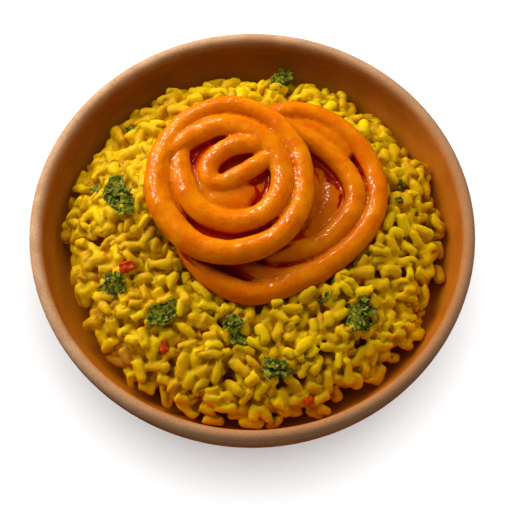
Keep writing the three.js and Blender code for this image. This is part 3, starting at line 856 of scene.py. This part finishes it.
def mean_height(reach):
    """Height of the grains, averaged over a square that reaches this many cells each way."""
    steps = range(-reach, reach + 1, reach // 2)
    return sum(np.roll(surface, (i, j), (0, 1)) for i in steps for j in steps) / len(steps) ** 2


level = mean_height(level_cells)
paste = mean_height(paste_cells)
for i, x in enumerate(axis):
    for j, y in enumerate(axis):
        hollow = paste_depth + paste_uneven * lump(x, y, 6, 11) + paste_tilt * (x - y)
        paste[i, j] += 0.5 * lump(x, y, 1.8, 13) - hollow
paste = np.minimum(paste, top - paste_cover)


def press_paste(across, along):
    """The crushed rice between the grains of one quarter of the heap, as a closed block."""
    bpy.ops.object.select_all(action="DESELECT")
    steps = int(paste_reach / paste_step)
    bpy.ops.mesh.primitive_grid_add(
        x_subdivisions=steps, y_subdivisions=steps, size=paste_reach * MM,
        location=Vector((across, along, 0)) * (paste_reach / 2 - quarter_overlap) * MM,
    )
    block = bpy.context.object
    bpy.ops.object.transform_apply()
    bpy.ops.object.mode_set(mode="EDIT")
    bpy.ops.mesh.select_all(action="SELECT")
    bpy.ops.mesh.extrude_region_move(TRANSFORM_OT_translate={"value": (0, 0, -MM)})
    bpy.ops.mesh.select_all(action="SELECT")
    bpy.ops.mesh.normals_make_consistent(inside=False)
    bpy.ops.object.mode_set(mode="OBJECT")
    for vertex in block.data.vertices:
        x, y = vertex.co.x / MM, vertex.co.y / MM
        is_foot = vertex.co.z < -0.5 * MM
        edge = float(heap_edge(math.atan2(y, x))) - paste_overhang
        inward = min(1, (min(edge, paste_foot) if is_foot else edge) / max(1, math.hypot(x, y)))
        x, y = x * inward, y * inward
        height = bed_top if is_foot else max(bed_top + 1, float(paste[cell_of(x, y)]))
        vertex.co = Vector((x, y, height)) * MM
    return block


def drop_loose_bits(piece):
    """Removes what isn't joined to the bottom of the piece: loose grains and sealed bubbles."""
    bpy.ops.object.mode_set(mode="EDIT")
    bpy.ops.mesh.select_mode(type="VERT")
    bpy.ops.mesh.select_all(action="DESELECT")
    bpy.ops.object.mode_set(mode="OBJECT")
    min(piece.data.vertices, key=lambda vertex: vertex.co.z).select = True
    bpy.ops.object.mode_set(mode="EDIT")
    bpy.ops.mesh.select_linked()
    bpy.ops.mesh.select_all(action="INVERT")
    bpy.ops.mesh.delete(type="VERT")
    bpy.ops.object.mode_set(mode="OBJECT")


rice_grain = 0.5 * MM
grain_relief = [(0.3, 2.4), (0.08, 0.9)]
crack_width = 0.8
crack_depth = 0.3
# The first vertex of each of the three stretches of a grain whose middles stand for its axis.
axis_rows = (8, 28, 48)


def skin_grains(name, batch, block):
    """One skin over the grains of a quarter and the crushed rice between them, as they cling together."""
    count = len(batch[0][0])
    vertices = np.concatenate([shape for shape, _ in batch]) * MM
    faces = [tuple(k + i * count for k in face) for i in range(len(batch)) for face in grain_faces]
    mesh = bpy.data.meshes.new(name)
    mesh.from_pydata(vertices.tolist(), [], faces)
    piece = bpy.data.objects.new(name, mesh)
    bpy.context.scene.collection.objects.link(piece)
    join(name, [piece, block], piece)
    finish_with(piece, "REMESH", mode="VOXEL", voxel_size=rice_grain, use_smooth_shade=True)
    drop_loose_bits(piece)
    finish_with(piece, "SMOOTH", factor=0.5, iterations=1)
    swell(piece, grain_relief)
    return piece


def part_grains(piece, batch):
    """Opens cracks between the grains, and marks each vertex with its crack, grain tone and depth."""
    stretches = len(axis_rows)
    middles = KDTree(stretches * len(batch))
    for number, (shape, _) in enumerate(batch):
        for stretch, row in enumerate(axis_rows):
            middles.insert(shape[row:row + grain_sides].mean(0), stretches * number + stretch)
    middles.balance()
    places = np.empty(3 * len(piece.data.vertices), np.float32)
    piece.data.vertices.foreach_get("co", places)
    places = places.reshape(-1, 3) / MM
    nearest = np.empty(len(places), int)
    seam = np.ones(len(places), np.float32)
    for i, place in enumerate(places):
        found = middles.find_n(place, 6)
        nearest[i] = found[0][1] // stretches
        for _, number, distance in found[1:]:
            if number // stretches != nearest[i]:
                seam[i] = distance - found[0][2]
                break
    parted = np.array([noise.noise(Vector(place) / 5) for place in places])
    crack = np.clip(1 - seam / crack_width, 0, 1) * np.clip(0.5 + 3 * parted, 0, 1)
    mark(piece, "crack", crack)
    depths = iter(crack * crack_depth)
    push_out(piece, lambda place: -next(depths))
    mark(piece, "grain_tone", np.array([tone for _, tone in batch])[nearest])
    mark(piece, "sunk", level[cell_of(places[:, 0], places[:, 1])] - places[:, 2])


grain_colours = [paint(206, 158, 2), paint(236, 200, 4)]
stain_colour = paint(212, 152, 6)
starch_and_highlight_colour = paint(252, 222, 60)
tan_colour = paint(206, 150, 34)
crack_shade_colour = paint(116, 46, 2)
shaded_colour = paint(186, 116, 2)
hollow_shade_colour = paint(120, 48, 4)
bed_shade_colours = [paint(140, 74, 4), paint(190, 124, 8)]
rice = Finish(
    "turmeric_rice", Roughness=0.4, Specular_IOR_Level=0.22, Specular_Tint=(1, 0.8, 0.3, 1),
    Subsurface_Weight=0.7, Subsurface_Radius=(1, 0.55, 0.08), Subsurface_Scale=2.2 * MM,
)
place = rice.place()
tone = rice.marked("grain_tone")
sunk = rice.marked("sunk")
crack = rice.marked("crack")
stain = rice.noise(10, 3, 0.5, place)
starch = rice.noise(1.1, 3, 0.6, place)
rice_colour = rice.mix(tone, *grain_colours)
rice_colour = rice.mix(rice.between(stain, 0.4, 0.75) * 0.5, rice_colour, stain_colour)
# Pale specks: partly starch, partly painted highlight.
rice_colour = rice.mix(rice.between(starch, 0.55, 0.8) * 0.35, rice_colour, starch_and_highlight_colour)
rice_colour = rice.mix(rice.between(tone, -0.5, -0.7), rice_colour, tan_colour)
# Painted shade: the cracks between grains are darker.
rice_colour = rice.mix(crack * 0.75, rice_colour, crack_shade_colour)
# Painted shade: darker where the rice lies below the grains' level, darkest deep down.
rice_colour = rice.mix(rice.between(sunk, 0.4, 2.8) * 0.5, rice_colour, shaded_colour)
rice.set("Base Color", rice.mix(rice.between(sunk, 1.8, 4.5), rice_colour, hollow_shade_colour))
rice.set("Roughness", 0.36 + starch * 0.25)
rice.bump(starch, 0.14, 0.6)

# Painted shade: the core is darker, for rice deep between the grains.
bed_finish = Finish("rice_in_shade", Roughness=0.7)
bed_mottle = bed_finish.noise(2.4, 3, 0.55, bed_finish.place())
bed_finish.set("Base Color", bed_finish.mix(bed_mottle, *bed_shade_colours))
bed_finish.bump(bed_mottle, 0.5)
bed.data.materials.append(bed_finish.material)
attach(bed, "root")
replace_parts(bed, "rice_heap")
rice_pieces = [bed]
for i, (batch, quarter) in enumerate(zip(batches, quarters)):
    piece = skin_grains(f"rice_grains_{i + 1}", batch, press_paste(*quarter))
    part_grains(piece, batch)
    piece.data.materials.append(rice.material)
    rice_pieces.append(piece)
    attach(piece, "root")
    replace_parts(piece, "rice_heap")

# ---- the herb ----
# Chopped coriander, dropped on the rice last. Each sprig is a small tuft of thin crinkled leaflets with lobed
# edges, and lies over the grains where it fell.
leaflet_half_length = 2.5
leaflet_thickness = 0.25 * MM
leaflet_sides = 24
leaflet_rings = (0.8, 0.72, 0.55)
leaflet_lobes = 5
lobe_depth = 0.13
ragged_depth = 0.5
leaflet_cup = 0.5
leaflets_per_area = 0.27
fewest_leaflets = 4
sprig_fill = 0.86
spiral_turn = 2.4
sprig_seed = 300
fleck_seed = 400


def smooth_top(x, y):
    """Height of the heap's grains round a place, in millimetres."""
    i, j = cell_of(x, y)
    patch = surface[max(0, i - 3):i + 4, max(0, j - 3):j + 4]
    return float(np.percentile(patch, 70))


def tear_leaflet(x, y, long, wide, turn, lean, lift, seed):
    """One crinkled leaflet: a disc drawn out to lobes, leant over, laid on the grains and thickened."""
    bpy.ops.object.select_all(action="DESELECT")
    bpy.ops.mesh.primitive_circle_add(vertices=leaflet_sides, radius=1, fill_type="NOTHING")
    leaflet = bpy.context.object
    bpy.ops.object.mode_set(mode="EDIT")
    bpy.ops.mesh.select_all(action="SELECT")
    for share in leaflet_rings:
        bpy.ops.mesh.extrude_edges_move(TRANSFORM_OT_translate={"value": (0, 0, 0)})
        bpy.ops.transform.resize(value=(share, share, 1))
    bpy.ops.mesh.merge(type="CENTER")
    bpy.ops.object.mode_set(mode="OBJECT")
    c, s = math.cos(turn), math.sin(turn)
    base = smooth_top(x, y) + lift
    for vertex in leaflet.data.vertices:
        out = math.hypot(vertex.co.x, vertex.co.y)
        angle = math.atan2(vertex.co.y, vertex.co.x)
        ragged = ragged_depth * noise.noise((2 * math.cos(angle), 2 * math.sin(angle), seed))
        lobe = 1 + out ** 2 * (lobe_depth * math.cos(leaflet_lobes * angle) + ragged)
        along, beside = vertex.co.x * long * lobe, vertex.co.y * wide * lobe
        px, py = x + along * c - beside * s, y + along * s + beside * c
        crinkle = 0.5 * lump(px, py, 0.9, seed) + 0.7 * lump(px, py, 2.2, seed)
        vertex.co = Vector((px, py, base + lean * along + leaflet_cup * out ** 2 + crinkle)) * MM
    finish_with(leaflet, "SOLIDIFY", thickness=leaflet_thickness, offset=1)
    bpy.ops.object.shade_smooth()
    return leaflet


leaf_colours = [paint(50, 60, 4), paint(136, 140, 12)]
vein_and_highlight_colour = paint(204, 192, 66)
herb = Finish("coriander_leaf", Roughness=0.6, Specular_IOR_Level=0.15)
place = herb.place()
vein = herb.noise(0.9, 3, 0.6, place)
shade = herb.noise(1.8, 2, 0.5, place)
herb_colour = herb.mix(herb.between(shade, 0.35, 0.65), *leaf_colours)
# Pale flecks: partly veins, partly painted highlight.
herb.set("Base Color", herb.mix(herb.between(vein, 0.55, 0.7) * 0.8, herb_colour, vein_and_highlight_colour))
herb.bump(vein, 0.25, 0.8)


def gather_sprig(name, leaflets):
    """Joins leaflets to one piece."""
    sprig = join(name, leaflets, leaflets[0])
    sprig.data.materials.append(herb.material)
    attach(sprig, "root")
    return sprig


for number, (node, (x, y, long, wide, turn)) in enumerate(sprigs.items()):
    draw = np.random.default_rng(sprig_seed + number)
    leaflets = []
    c, s = math.cos(math.radians(turn)), math.sin(math.radians(turn))
    count = int(leaflets_per_area * long * wide) + fewest_leaflets
    for k in range(count):
        away = math.sqrt((k + 0.4) / count) * sprig_fill
        round_about = spiral_turn * k + draw.uniform(-0.4, 0.4)
        along, beside = away * long * math.cos(round_about), away * wide * math.sin(round_about)
        size = leaflet_half_length * draw.uniform(0.6, 1.45)
        leaflets.append(tear_leaflet(
            x + along * c - beside * s, y + along * s + beside * c, size, size * draw.uniform(0.5, 0.9),
            draw.uniform(0, math.tau), draw.uniform(-0.4, 0.4), draw.uniform(0.2, 1.1), 40 * number + k,
        ))
    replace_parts(gather_sprig("herb_" + node, leaflets), node)

# Flecks that fell off the sprigs as the herb was chopped, two leaflets at each place.
flecks = [(50.4, 17.5), (50.1, 10.3), (24, -26.4), (-42.6, 42), (-53.8, 16.2)]
draw = np.random.default_rng(fleck_seed)
leaflets = []
for k, (x, y) in enumerate(flecks + flecks):
    leaflets.append(tear_leaflet(
        x + draw.uniform(-1, 1), y + draw.uniform(-1, 1), draw.uniform(1, 1.9), draw.uniform(0.7, 1.2),
        draw.uniform(0, math.tau), draw.uniform(-0.4, 0.4), draw.uniform(0.1, 0.5), 700 + k,
    ))
gather_sprig("herb_flecks", leaflets)

# ---- the chilli ----
# Red chilli, diced small and cooked with the rice, so its corners are soft. Only a few of the dice show
# at the top of the heap. Each is given by its x, y, length, width and turn.
chilli_dice = [(-41.6, -14.6, 4.6, 3.2, 24), (-29, -40.5, 2.8, 3.6, 12), (18.6, -58.5, 3, 1.8, 30)]
dice_thickness = 2.8
dice_sunk = 0.1
dice_tilt = 8
dice_bevel = 0.6 * MM
dice_relief = [(0.9, 1.6)]
chilli_colours = [paint(186, 34, 2), paint(226, 92, 6)]
dice = []
for x, y, long, wide, turn in chilli_dice:
    bpy.ops.object.select_all(action="DESELECT")
    middle = Vector((x, y, smooth_top(x, y) - dice_sunk)) * MM
    bpy.ops.mesh.primitive_cube_add(size=1, location=middle)
    die = bpy.context.object
    die.scale = Vector((long, wide, dice_thickness)) * MM
    die.rotation_euler = (math.radians(dice_tilt), 0, math.radians(turn))
    bpy.ops.object.transform_apply()
    finish_with(die, "BEVEL", width=dice_bevel, segments=3)
    finish_with(die, "SUBSURF", levels=3, render_levels=3)
    finish_with(die, "SMOOTH", factor=0.6, iterations=12)
    swell(die, dice_relief)
    bpy.ops.object.shade_smooth()
    dice.append(die)
chilli = join("diced_chilli", dice, dice[0])
pepper = Finish("red_chilli", Roughness=0.45, Specular_IOR_Level=0.1)
flesh = pepper.noise(1.5, 3, 0.55, pepper.place())
pepper.set("Base Color", pepper.mix(flesh, *chilli_colours))
pepper.bump(flesh, 0.2)
chilli.data.materials.append(pepper.material)
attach(chilli, "root")
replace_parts(chilli, "rice_heap")

# ---- the table, the light and the camera ----
# A plain pale table top, soft daylight all round, one large soft lamp behind the bowl on the left, and a soft
# fill behind it on the right. The lamp lights the food only, and a wide screen overhead the table only.
table_size = 4
table_grey = 0.8
daylight_strength = 0.29
food_middle = Vector((0, 0, 0.04))
bpy.ops.object.select_all(action="DESELECT")
bpy.ops.mesh.primitive_plane_add(size=table_size, location=(0, 0, 0))
table = bpy.context.object
table.name = "table_top"
bpy.ops.object.transform_apply()
matt = Finish("white_matt", Roughness=0.9, Specular_IOR_Level=0.1)
matt.set("Base Color", (table_grey, table_grey, table_grey, 1))
table.data.materials.append(matt.material)
table.visible_diffuse = False
table.visible_glossy = False

daylight = bpy.data.worlds.new("daylight")
daylight.use_nodes = True
sky = daylight.node_tree.nodes["Background"]
sky.inputs["Color"].default_value = (1, 1, 1, 1)
sky.inputs["Strength"].default_value = daylight_strength
daylight.cycles_visibility.glossy = False
bpy.context.scene.world = daylight


def hang_light(name, place, size, watts):
    """A square soft light that faces straight down."""
    bpy.ops.object.light_add(type="AREA", location=place)
    light = bpy.context.object
    light.name = name
    light.data.size = size
    light.data.energy = watts
    return light


def aim_at_food(light):
    light.rotation_euler = (food_middle - light.location).to_track_quat("-Z", "Y").to_euler()


def group(name, pieces):
    """A collection of pieces for a light to reach."""
    collection = bpy.data.collections.new(name)
    for piece in pieces:
        collection.objects.link(piece)
    return collection


lamp = hang_light("soft_lamp", (-0.325, 0.35, 0.37), 0.62, 4.9)
lamp.data.shape = "DISK"
lamp.data.color = (1, 0.96, 0.9)
aim_at_food(lamp)
all_but_table = group("beside_table", [table])
all_but_table.collection_objects[0].light_linking.link_state = "EXCLUDE"
lamp.light_linking.receiver_collection = all_but_table

screen = hang_light("overhead_screen", (0, 0, 0.9), 1.6, 26)
screen.light_linking.receiver_collection = group("on_table", [table])

fill = hang_light("soft_fill", (0.25, 0.25, 0.25), 0.3, 0.6)
aim_at_food(fill)
fill.visible_glossy = False
fill.light_linking.receiver_collection = group("filled", [bowl, *jalebis, *rice_pieces])

camera_lens = 135
camera_film = 36
camera_target = Vector((1.244, -10.528, 48)) * MM
camera_distance = 640.6 * MM
camera_elevation = math.radians(67.125)
towards_camera = Vector((0, -math.cos(camera_elevation), math.sin(camera_elevation)))
bpy.ops.object.camera_add(
    location=camera_target + towards_camera * camera_distance, rotation=(math.pi / 2 - camera_elevation, 0, 0)
)
camera = bpy.context.object
camera.data.lens = camera_lens
camera.data.sensor_width = camera_film
bpy.context.scene.camera = camera
bpy.context.scene.view_settings.view_transform = "Standard"
